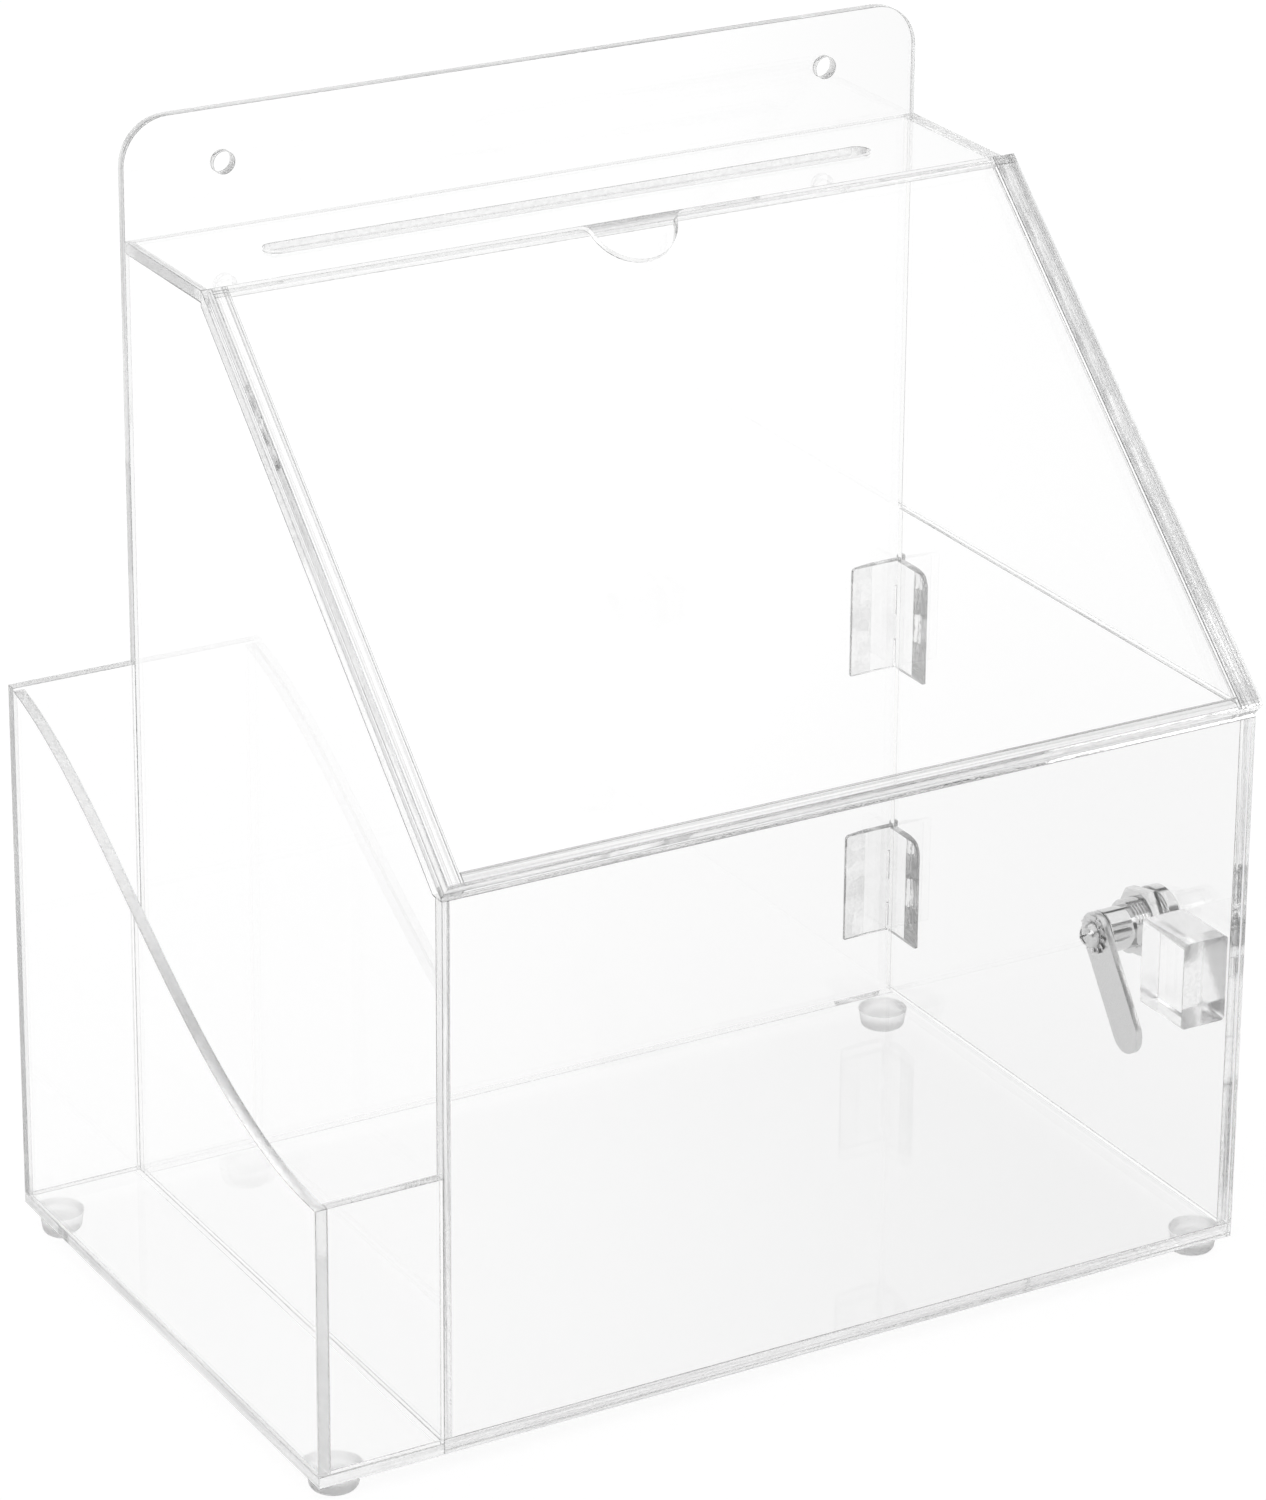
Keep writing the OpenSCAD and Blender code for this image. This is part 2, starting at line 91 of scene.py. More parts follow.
def linear(hex_colour: str) -> tuple[float, float, float, float]:
    """Turns an sRGB hex colour into the linear colour that a shader takes.

    Args:
        hex_colour: Six hex digits after a hash sign.

    Returns:
        Linear red, green and blue, and an alpha of 1.
    """
    parts = [int(hex_colour[i:i + 2], 16) / 255 for i in (1, 3, 5)]
    red, green, blue = (c / 12.92 if c <= 0.04045 else ((c + 0.055) / 1.055) ** 2.4 for c in parts)
    return (red, green, blue, 1.0)


def add_node(tree: bpy.types.NodeTree, kind: str, settings: dict | None = None,
             links: dict | None = None) -> bpy.types.Node:
    """Adds one node to a tree, with its settings and its incoming links.

    Args:
        tree: The node tree.
        kind: Blender's name for the node type.
        settings: Attribute names, or input names after "in:", and their values.
        links: Input names or numbers, each with the output socket that feeds it.

    Returns:
        The new node.
    """
    node = tree.nodes.new(kind)
    for name, value in (settings or {}).items():
        if name.startswith("in:"):
            key = name[3:]
            node.inputs[int(key) if key.isdigit() else key].default_value = value
        else:
            setattr(node, name, value)
    for name, socket in (links or {}).items():
        tree.links.new(socket, node.inputs[name])
    return node


def new_material(name: str) -> tuple[bpy.types.Material, bpy.types.NodeTree, bpy.types.Node]:
    """Makes an empty node material.

    Args:
        name: The material's name.

    Returns:
        The material, its node tree and its output node.
    """
    material = bpy.data.materials.new(name)
    material.use_nodes = True
    tree = material.node_tree
    tree.nodes.clear()
    return material, tree, add_node(tree, "ShaderNodeOutputMaterial")


@dataclass(frozen=True)
class CastAcrylic:
    """Cast acrylic sheet (PMMA) with its polished faces.

    The eye sees almost nothing of it face on, only a clean reflection with very soft waves. The sheets at the
    bottom are drawn with a lower index, so that they mirror the hinges as faintly as in the photograph.
    """

    name: str = "cast_acrylic"
    tint: str = "#FFFFFF"
    ior: float = 1.49
    roughness: float = 0.0
    specular: float = 0.25
    wave_mm: float = 60.0
    wave_height_mm: float = 0.01

    def build(self) -> bpy.types.Material:
        """Builds the material.

        Returns:
            The finished material.
        """
        material, tree, output = new_material(self.name)
        place = add_node(tree, "ShaderNodeTexCoord")
        waves = add_node(tree, "ShaderNodeTexNoise", {"in:Scale": 1 / (self.wave_mm * MM), "in:Detail": 1.0},
                         {"Vector": place.outputs["Object"]})
        bump = add_node(tree, "ShaderNodeBump", {"in:Strength": 1.0, "in:Distance": self.wave_height_mm * MM},
                        {"Height": waves.outputs["Fac"]})
        shader = add_node(tree, "ShaderNodeBsdfPrincipled",
                          {"in:Base Color": linear(self.tint), "in:Roughness": self.roughness,
                           "in:IOR": self.ior, "in:Transmission Weight": 1.0,
                           "in:Specular IOR Level": self.specular},
                          {"Normal": bump.outputs["Normal"]})
        tree.links.new(shader.outputs["BSDF"], output.inputs["Surface"])
        return material


@dataclass(frozen=True)
class CutEdge:
    """The cut edge of cast acrylic: sawn and scraped matt, or flame-polished to a clear wavy gloss.

    A sawn edge gives the eye a soft light grey with faint mottling; a polished one breaks into thin grey and
    white lines that run along it. On the polished edges and arrises, the grey of the lines and spots is painted
    shade and painted reflection in the base colour. It stands for the darker surroundings that the real wavy edge
    refracts. On the spacers the streaks are glue. The bumps are the edge's real waves. The lines are drawn
    about 1 mm apart, coarser than the real ones, so that they show at all.
    """

    name: str
    roughness: float
    mottle_height_mm: float
    line_height_mm: float
    line_shade: str
    mottle_shade: str
    mottle_share: float = 1.0
    clear_share: float = 1.0
    mottle_mm: float = 1.5
    tint: str = "#FFFFFF"
    ior: float = 1.49

    def build(self) -> bpy.types.Material:
        """Builds the material.

        Returns:
            The finished material.
        """
        material, tree, output = new_material(self.name)
        place = add_node(tree, "ShaderNodeTexCoord")
        run = add_node(tree, "ShaderNodeAttribute", {"attribute_name": EDGE_RUN})
        mottle = add_node(tree, "ShaderNodeTexNoise", {"in:Scale": 1 / (self.mottle_mm * MM), "in:Detail": 2.0},
                          {"Vector": place.outputs["Object"]})
        lines = add_node(tree, "ShaderNodeTexNoise", {"in:Scale": 1.0, "in:Detail": 2.0},
                         {"Vector": run.outputs["Vector"]})
        low = add_node(tree, "ShaderNodeBump", {"in:Strength": 1.0, "in:Distance": self.mottle_height_mm * MM},
                       {"Height": mottle.outputs["Fac"]})
        bump = add_node(tree, "ShaderNodeBump", {"in:Strength": 1.0, "in:Distance": self.line_height_mm * MM},
                        {"Height": lines.outputs["Fac"], "Normal": low.outputs["Normal"]})
        rough = add_node(tree, "ShaderNodeMapRange",
                         {"in:To Min": self.roughness * 0.5, "in:To Max": self.roughness * 1.5},
                         {"Value": mottle.outputs["Fac"]})
        streak = add_node(tree, "ShaderNodeMapRange", {"in:From Min": 0.48, "in:From Max": 0.66},
                          {"Value": lines.outputs["Fac"]})
        spots = add_node(tree, "ShaderNodeMapRange",
                         {"in:From Min": 0.42, "in:From Max": 0.62, "in:To Max": self.mottle_share},
                         {"Value": mottle.outputs["Fac"]})
        # Painted shade and painted reflection: the grey streaks and spots are mixed into the base colour.
        tone = add_node(tree, "ShaderNodeMix",
                        {"data_type": "RGBA", "in:6": linear(self.tint), "in:7": linear(self.line_shade)},
                        {0: streak.outputs["Result"]})
        tone = add_node(tree, "ShaderNodeMix", {"data_type": "RGBA", "in:7": linear(self.mottle_shade)},
                        {0: spots.outputs["Result"], 6: tone.outputs[2]})
        shader = add_node(tree, "ShaderNodeBsdfPrincipled",
                          {"in:IOR": self.ior, "in:Transmission Weight": self.clear_share},
                          {"Normal": bump.outputs["Normal"], "Roughness": rough.outputs["Result"],
                           "Base Color": tone.outputs[2]})
        tree.links.new(shader.outputs["BSDF"], output.inputs["Surface"])
        return material


@dataclass(frozen=True)
class MouldedClearPlastic:
    """Injection-moulded clear polycarbonate.

    The eye sees a clear middle with slow flow lines. Where the leaf is glued, uneven glue gives grey and clear
    patches of a few millimetres.
    """

    name: str
    patch_shade: str
    tint: str = "#FBFBFB"
    ior: float = 1.58
    roughness: float = 0.04
    flow_mm: float = 5.0
    flow_height_mm: float = 0.1
    patch_mm: float = 7.0
    blur_mm: float = 1.2
    clear_share: float = 1.0

    def build(self) -> bpy.types.Material:
        """Builds the material.

        Returns:
            The finished material.
        """
        material, tree, output = new_material(self.name)
        place = add_node(tree, "ShaderNodeTexCoord")
        flow = add_node(tree, "ShaderNodeTexNoise", {"in:Scale": 1 / (self.flow_mm * MM), "in:Detail": 2.0},
                        {"Vector": place.outputs["Object"]})
        haze = add_node(tree, "ShaderNodeTexNoise", {"in:Scale": 1 / (self.blur_mm * MM), "in:Detail": 2.0},
                        {"Vector": place.outputs["Object"]})
        patch = add_node(tree, "ShaderNodeTexVoronoi",
                         {"distance": "CHEBYCHEV", "in:Scale": 1 / (self.patch_mm * MM), "in:Randomness": 0.7},
                         {"Vector": place.outputs["Object"]})
        parts = add_node(tree, "ShaderNodeSeparateColor", None, {0: patch.outputs["Color"]})
        blocks = add_node(tree, "ShaderNodeMath", {"operation": "MULTIPLY_ADD", "in:1": 0.5},
                          {0: parts.outputs["Red"], 2: haze.outputs["Fac"]})
        bump = add_node(tree, "ShaderNodeBump", {"in:Strength": 1.0, "in:Distance": self.flow_height_mm * MM},
                        {"Height": flow.outputs["Fac"]})
        share = add_node(tree, "ShaderNodeMapRange", {"in:From Min": 0.5, "in:From Max": 1.0},
                         {"Value": blocks.outputs["Value"]})
        tone = add_node(tree, "ShaderNodeMix",
                        {"data_type": "RGBA", "in:6": linear(self.tint), "in:7": linear(self.patch_shade)},
                        {0: share.outputs["Result"]})
        shader = add_node(tree, "ShaderNodeBsdfPrincipled",
                          {"in:Roughness": self.roughness, "in:IOR": self.ior,
                           "in:Transmission Weight": self.clear_share},
                          {"Normal": bump.outputs["Normal"], "Base Color": tone.outputs[2]})
        tree.links.new(shader.outputs["BSDF"], output.inputs["Surface"])
        return material


@dataclass(frozen=True)
class FrostedSilicone:
    """Moulded silicone rubber with a fine matt skin.

    The eye sees a milky, light grey glow without a sharp reflection; light gets a few millimetres in and comes out
    again, so the rim is lighter than the middle.
    """

    tint: str = "#FFFFFF"
    ior: float = 1.41
    roughness: float = 0.5
    clear_share: float = 1.0
    grain_mm: float = 0.6
    grain_height_mm: float = 0.02

    def build(self) -> bpy.types.Material:
        """Builds the material.

        Returns:
            The finished material.
        """
        material, tree, output = new_material("frosted_silicone")
        place = add_node(tree, "ShaderNodeTexCoord")
        grain = add_node(tree, "ShaderNodeTexNoise", {"in:Scale": 1 / (self.grain_mm * MM), "in:Detail": 3.0},
                         {"Vector": place.outputs["Object"]})
        bump = add_node(tree, "ShaderNodeBump", {"in:Strength": 1.0, "in:Distance": self.grain_height_mm * MM},
                        {"Height": grain.outputs["Fac"]})
        shader = add_node(tree, "ShaderNodeBsdfPrincipled",
                          {"in:Base Color": linear(self.tint), "in:Roughness": self.roughness,
                           "in:IOR": self.ior, "in:Transmission Weight": self.clear_share},
                          {"Normal": bump.outputs["Normal"]})
        tree.links.new(shader.outputs["BSDF"], output.inputs["Surface"])
        return material


@dataclass(frozen=True)
class PlatedMetal:
    """A plated metal: bright nickel on die-cast zinc, or satin zinc on punched steel.

    Nickel gives the eye hard bright and dark stripes; satin zinc spreads them to an even grey with a light rim.
    """

    name: str
    colour: str
    roughness: float
    mark_mm: float
    mark_height_mm: float

    def build(self) -> bpy.types.Material:
        """Builds the material.

        Returns:
            The finished material.
        """
        material, tree, output = new_material(self.name)
        place = add_node(tree, "ShaderNodeTexCoord")
        marks = add_node(tree, "ShaderNodeTexNoise", {"in:Scale": 1 / (self.mark_mm * MM), "in:Detail": 3.0},
                         {"Vector": place.outputs["Object"]})
        bump = add_node(tree, "ShaderNodeBump", {"in:Strength": 1.0, "in:Distance": self.mark_height_mm * MM},
                        {"Height": marks.outputs["Fac"]})
        rough = add_node(tree, "ShaderNodeMapRange",
                         {"in:To Min": self.roughness * 0.7, "in:To Max": self.roughness * 1.3},
                         {"Value": marks.outputs["Fac"]})
        shader = add_node(tree, "ShaderNodeBsdfPrincipled",
                          {"in:Base Color": linear(self.colour), "in:Metallic": 1.0},
                          {"Normal": bump.outputs["Normal"], "Roughness": rough.outputs["Result"]})
        tree.links.new(shader.outputs["BSDF"], output.inputs["Surface"])
        return material


@dataclass(frozen=True)
class Finishes:
    """All the finished materials, by the record's slot."""

    by_slot: dict[Slot, bpy.types.Material]
    by_edge: dict[Edge, bpy.types.Material]
    # The corner finish: grey painted shade, standing for the dark line that a rounded corner refracts.
    arris_painted_shade: bpy.types.Material
    # Dark grey corners: glue at the spacers, painted shade at the upper right wall's back end.
    glue_and_shade_arris: bpy.types.Material
    table_side: bpy.types.Material
    # Matt end: a sawn matt end whose dark lines are painted shade.
    matt_painted_shade_end: bpy.types.Material

    @staticmethod
    def build() -> "Finishes":
        """Builds every finish once.

        Returns:
            The finishes.
        """
        return Finishes({
            Slot.ACRYLIC: CastAcrylic().build(),
            Slot.HINGE: MouldedClearPlastic("moulded_clear_plastic", "#F6F6F6").build(),
            Slot.SILICONE: FrostedSilicone().build(),
            Slot.NICKEL: PlatedMetal("nickel_plate", "#D0D0D0", 0.08, 1.2, 0.003).build(),
            Slot.ZINC: PlatedMetal("zinc_plated_steel", "#D6D6D6", 0.30, 0.5, 0.004).build(),
        }, {
            # The grey line tones of these edges are painted shade and painted reflection; the finishes set roughness
            # and bumps.
            Edge.SAWN: CutEdge("sawn_acrylic_edge", 0.15, 0.03, 0.01, "#FFFFFF", "#F4F4F4").build(),
            Edge.GLUED_LEAF: MouldedClearPlastic("glued_clear_plastic", "#D2D2D2", "#F4F4F4").build(),
            Edge.PIN: MouldedClearPlastic("shaded_clear_plastic", "#A0A0A0", "#E0E0E0", clear_share=0.5).build(),
            Edge.STRIP: CutEdge("glue_streaked_acrylic", 0.03, 0.005, 0.03, "#B4B4B4", "#FFFFFF", 0.1).build(),
            Edge.POLISHED: CutEdge("polished_acrylic_edge", 0.03, 0.01, 0.03, "#989898", "#FFFFFF", 0.3).build(),
            Edge.CLEAR: CutEdge("glossy_acrylic_edge", 0.02, 0.01, 0.03, "#CCCCCC", "#FFFFFF", 0.3).build(),
            Edge.HAZED: CutEdge("hazed_acrylic_edge", 0.02, 0.01, 0.03, "#D0D0D0", "#FFFFFF", 0.3, 0.45).build(),
        # Arris: its grey base colour is painted shade, the dark line that the rounded corner refracts from darker
        # surroundings.
        }, CutEdge("painted_shade_arris", 0.05, 0.003, 0.01, "#808080", "#C8C8C8", tint="#A8A8A8").build(),
            # Glue-and-shade arris: dark grey for the glue at the spacers' corners and painted shade at the upper right
            # wall's back end.
            CutEdge("glue_and_painted_shade_arris", 0.1, 0.01, 0.01, "#505050", "#808080", tint="#686868").build(),
            CastAcrylic("table_side_acrylic", ior=1.2, roughness=0.03, specular=0.1).build(),
            # Matt end: sawn matt, with dark grey lines that are painted shade, the darkness that the back panel's right
            # end shows.
            CutEdge("matt_acrylic_end_painted_shade", 0.3, 0.01, 0.01, "#606060", "#FFFFFF", 0.1, 0.8, tint="#FFFFFF").build())


def edge_of(name: str, slot: Slot) -> Edge:
    """Says how the narrow faces of a piece were made.

    Args:
        name: The piece's node.
        slot: Its material slot.

    Returns:
        The kind of edge.
    """
    if slot is Slot.HINGE:
        return Edge.GLUED_LEAF if name.endswith("_leaf") else Edge.PIN
    if slot is not Slot.ACRYLIC:
        return Edge.AS_FACES
    if name.endswith("_spacer"):
        return Edge.STRIP
    if name == "back_panel":
        return Edge.HAZED
    if name in ("base_plate", "pocket_base", "pocket_front", "front_panel", "upper_right_wall", "slope_panel"):
        return Edge.CLEAR
    return Edge.POLISHED if name in ("cover_sheet", "door_panel", "left_wall") else Edge.SAWN


def set_finish(thing: bpy.types.Object, material: bpy.types.Material) -> None:
    """Gives an object one material.

    Args:
        thing: The object.
        material: Its material.
    """
    if thing.material_slots:
        for slot in thing.material_slots:
            slot.material = material
    else:
        thing.data.materials.append(material)


@dataclass
class SoftenedPieces:
    """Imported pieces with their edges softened: sheets with cut edges, clear mouldings and the lock's metal."""

    finishes: Finishes
    edge_mm: float = 0.2
    glue_mm: float = 0.03
    round_angle_deg: float = 25.0
    smooth_angle_deg: float = 35.0
    flat_mm2: float = 100.0
    line_mm: float = 1.0
    clear_leaf_mm: float = 17.0
    knuckle_mm: float = 4.0
    run_mm: float = 90.0
    # Ends that get the matt end with its dark lines of painted shade.
    matt_painted_shade_ends: dict[str, tuple[int, int, int]] = field(default_factory=lambda: {
        "back_panel": (1, 0, 0)})
    # Pieces whose back-end arris is darkened with painted shade.
    painted_shade_ends: tuple[str, ...] = ("upper_right_wall",)
    pieces: list[bpy.types.Object] = field(default_factory=list)

    def soften(self, name: str, body: Body, slot: Slot, cut: Edge) -> bpy.types.Object:
        """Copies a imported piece, draws it in by the glue's thickness and rounds its edges.

        Args:
            name: The node's name.
            body: The body that it rides on.
            slot: The material slot of its finish.
            cut: How its narrow faces were made.

        Returns:
            The new piece.
        """
        mesh = bmesh.new()
        mesh.from_mesh(frame["nodes"][name].data)
        run = mesh.verts.layers.float_vector.new(EDGE_RUN)
        bmesh.ops.remove_doubles(mesh, verts=mesh.verts, dist=0.001 * MM)
        bmesh.ops.dissolve_limit(mesh, angle_limit=math.radians(0.5), verts=mesh.verts, edges=mesh.edges)
        mesh.normal_update()
        moves = [(v, v.normal * v.calc_shell_factor() * self.glue_mm * MM) for v in mesh.verts]
        for vertex, move in moves:
            vertex.co -= move
        broad = max(mesh.faces, key=lambda face: face.calc_area()).normal.copy()
        longest = max(mesh.edges, key=lambda edge: edge.calc_length())
        along = (longest.verts[1].co - longest.verts[0].co).normalized()
        if cut is Edge.GLUED_LEAF:
            low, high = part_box(f"{name.split('_')[0]}_hinge_pin")
            pin = (Vector(low) + Vector(high)) / 2
        matt = Vector(self.matt_painted_shade_ends.get(name, (0, 0, 0)))
        for face in mesh.faces:
            narrow = abs(face.normal.dot(broad)) < 0.99
            if cut is Edge.GLUED_LEAF:
                away = (face.calc_center_median() - pin).to_2d().length / MM
                face.material_index = 3 if away < self.knuckle_mm else int(away > self.clear_leaf_mm)
            else:
                face.material_index = int(cut in (Edge.STRIP, Edge.PIN) or (cut is not Edge.AS_FACES and narrow))
            # Painted shade: faces of the matt end get the dark-lined end finish.
            if face.normal.dot(matt) > 0.9:
                face.material_index = 3
        sharp = [e for e in mesh.edges if e.is_manifold and e.calc_face_angle(0) > math.radians(self.round_angle_deg)]
        bmesh.ops.bevel(mesh, geom=sharp, offset=self.edge_mm * MM, segments=2, profile=0.5, affect="EDGES",
                        clamp_overlap=True, material=-1 if cut is Edge.AS_FACES else 2)
        back = max(vertex.co.y for vertex in mesh.verts) - 2 * self.edge_mm * MM
        for face in mesh.faces:
            # Painted shade: the back-end arris of these pieces gets the dark grey corner finish.
            if name in self.painted_shade_ends and face.material_index == 2 and face.calc_center_median().y > back:
                face.material_index = 3
            face.smooth = face.calc_area() < self.flat_mm2 * MM * MM
        for edge in mesh.edges:
            edge.smooth = edge.is_manifold and edge.calc_face_angle(0) < math.radians(self.smooth_angle_deg)
        run_mm = self.run_mm * (5 if cut is Edge.STRIP else 1)
        extra = 1 / self.line_mm - 1 / run_mm
        for vertex in mesh.verts:
            place = vertex.co / MM
            across = place - along * place.dot(along) if cut is Edge.STRIP else broad * place.dot(broad)
            vertex[run] = place / run_mm + across * extra
        data = bpy.data.meshes.new(f"softened_{name}")
        mesh.to_mesh(data)
        mesh.free()
        piece = bpy.data.objects.new(f"softened_{name}", data)
        bpy.context.scene.collection.objects.link(piece)
        data.materials.append(self.finishes.table_side if name.endswith(("base", "base_plate"))
                              else self.finishes.by_slot[slot])
        if cut is not Edge.AS_FACES:
            data.materials.append(self.finishes.by_edge[cut])
            corners = {Edge.STRIP: self.finishes.glue_and_shade_arris, Edge.GLUED_LEAF: self.finishes.by_edge[Edge.GLUED_LEAF]}
            data.materials.append(corners.get(cut, self.finishes.arris_painted_shade))
            data.materials.append(self.finishes.by_edge[Edge.PIN] if cut is Edge.GLUED_LEAF
                                  else self.finishes.glue_and_shade_arris if name in self.painted_shade_ends
                                  else self.finishes.matt_painted_shade_end)
        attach(piece, body.value)
        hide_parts(name)
        self.pieces.append(piece)
        return piece


@dataclass
class CamLock:
    """The cam lock: its fixed body with the thread on its barrel, cut by two flats, and the toothed washer.

    The thread's pitch is 1.2 mm, a little coarser than the real 1 mm, so that its rings show.
    """

    finishes: Finishes
    pitch_mm: float = 1.2
    depth_mm: float = 0.55
    neck_mm: float = 7.6
    barrel_mm: float = 9.3
    barrel_length_mm: float = 10.0
    flat_mm: float = 8.2
    bore_mm: float = 5.6
    flange_mm: float = 6.9
    flange_depth_mm: float = 1.4
    head_mm: float = 11.75
    head_bevel_mm: float = 1.5
    sheet_mm: float = 4.0
    head_thickness_mm: float = 5.5
    sides: int = 96
    washer_bore_mm: float = 2.1
    washer_ring_mm: float = 4.7
    washer_tip_mm: float = 6.72
    washer_steel_mm: float = 0.5
    teeth: int = 12
    tooth_width_mm: float = 2.3
    tooth_twist_deg: float = 28.0

    def outline(self, start_mm: float, face_mm: float) -> list[tuple[float, float]]:
        """Lays out the turned outline, from the bore's inner end outwards and back.

        Args:
            start_mm: Where the neck begins along the axis.
            face_mm: Where the head's outer face lies.

        Returns:
            Pairs of the place along the axis and the radius, in millimetres.
        """
        door = face_mm - self.head_thickness_mm
        barrel = door - self.sheet_mm - self.barrel_length_mm
        root = self.barrel_mm - self.depth_mm
        points = [(start_mm, self.bore_mm), (start_mm, self.neck_mm - 0.3), (start_mm + 0.3, self.neck_mm),
                  (barrel, self.neck_mm), (barrel, root)]
        turns = int((door - barrel) / self.pitch_mm)
        for turn in range(turns):
            at = barrel + turn * self.pitch_mm
            points += [(at + 0.45 * self.pitch_mm, self.barrel_mm), (at + 0.55 * self.pitch_mm, self.barrel_mm),
                       (at + self.pitch_mm, root)]
        points += [(door, root), (door, self.head_mm - 0.2), (door + 0.2, self.head_mm),
                   (face_mm - self.head_bevel_mm, self.head_mm), (face_mm, self.head_mm - self.head_bevel_mm),
                   (face_mm, self.flange_mm), (face_mm - self.flange_depth_mm, self.flange_mm),
                   (face_mm - self.flange_depth_mm, self.bore_mm)]
        return points

    def axis_at(self, node: str) -> tuple[Vector, Vector]:
        """Finds a round piece's inner and outer end on the lock's axis.

        Args:
            node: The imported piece.

        Returns:
            The two points, in metres.
        """
        low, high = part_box(node)
        across = ((low[1] + high[1]) / 2, (low[2] + high[2]) / 2)
        return Vector((low[0], *across)), Vector((high[0], *across))

    def dress(self, mesh: bmesh.types.BMesh, node: str, body: Body, slot: Slot) -> bpy.types.Object:
        """Turns a finished mesh into the piece that stands for a packed one.

        Args:
            mesh: The mesh, which is freed.
            node: The node that it replaces.
            body: The body that it rides on.
            slot: Its material slot.

        Returns:
            The new piece.
        """
        bmesh.ops.recalc_face_normals(mesh, faces=mesh.faces)
        for face in mesh.faces:
            face.smooth = True
        for edge in mesh.edges:
            edge.smooth = edge.calc_face_angle(0) < math.radians(28)
        data = bpy.data.meshes.new(f"detailed_{node}")
        mesh.to_mesh(data)
        mesh.free()
        piece = bpy.data.objects.new(f"detailed_{node}", data)
        bpy.context.scene.collection.objects.link(piece)
        data.materials.append(self.finishes.by_slot[slot])
        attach(piece, body.value)
        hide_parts(node)
        return piece

    def build_washer(self) -> bpy.types.Object:
        """Builds the washer: a flat ring with teeth that are twisted out of its plane.

        Returns:
            The new piece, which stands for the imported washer.
        """
        inner, outer = self.axis_at("cam_washer")
        middle = (inner + outer) / 2
        mesh = bmesh.new()
        half = self.washer_steel_mm / 2
        rings = [[mesh.verts.new(middle + Vector((place, radius * math.cos(angle), radius * math.sin(angle))) * MM)
                  for angle in (2 * math.pi * side / self.sides for side in range(self.sides))]
                 for place, radius in ((-half, self.washer_bore_mm), (-half, self.washer_ring_mm),
                                       (half, self.washer_ring_mm), (half, self.washer_bore_mm))]
        for first, second in zip(rings, rings[1:] + rings[:1]):
            for side in range(self.sides):
                other = (side + 1) % self.sides
                mesh.faces.new((first[side], second[side], second[other], first[other]))
        for tooth in range(self.teeth):
            angle = 2 * math.pi * tooth / self.teeth
            outwards = Vector((0, math.cos(angle), math.sin(angle)))
            ends = []
            for radius, share, twist in ((self.washer_ring_mm - 0.4, 0.75, 0.0),
                                         ((self.washer_ring_mm + self.washer_tip_mm) / 2, 0.9, 0.8),
                                         (self.washer_tip_mm, 1.0, 1.0)):
                turn = math.radians(self.tooth_twist_deg) * twist
                level = Vector((0, -math.sin(angle), math.cos(angle))) * math.cos(turn) + Vector((math.sin(turn), 0, 0))
                normal = outwards.cross(level)
                reach = self.tooth_width_mm / 2 * share
                ends.append([mesh.verts.new(middle + (outwards * radius + level * u * reach + normal * v * half) * MM)
                             for u, v in ((-1, -1), (1, -1), (1, 1), (-1, 1))])
            for first, second in zip(ends, ends[1:]):
                for side in range(4):
                    other = (side + 1) % 4
                    mesh.faces.new((first[side], first[other], second[other], second[side]))
            mesh.faces.new(ends[0])
            mesh.faces.new(ends[-1])
        return self.dress(mesh, "cam_washer", Body.CAM, Slot.ZINC)

    def build_body(self) -> bpy.types.Object:
        """Turns the outline about the lock's axis and flattens the barrel's front and back.

        Returns:
            The new piece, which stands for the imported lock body.
        """
        low, high = self.axis_at("lock_body")
        middle = Vector((0, low[1], low[2]))
        points = self.outline(low[0] / MM, high[0] / MM)
        mesh = bmesh.new()
        rings = []
        for place, radius in points:
            limit = self.flat_mm if radius < self.head_mm - self.head_bevel_mm - 0.1 else radius
            ring = []
            for side in range(self.sides):
                angle = 2 * math.pi * side / self.sides
                across = max(-limit, min(limit, radius * math.cos(angle)))
                ring.append(mesh.verts.new(middle + Vector((place, across, radius * math.sin(angle))) * MM))
            rings.append(ring)
        for first, second in zip(rings, rings[1:] + rings[:1]):
            for side in range(self.sides):
                other = (side + 1) % self.sides
                mesh.faces.new((first[side], second[side], second[other], first[other]))
        return self.dress(mesh, "lock_body", Body.DOOR, Slot.NICKEL)


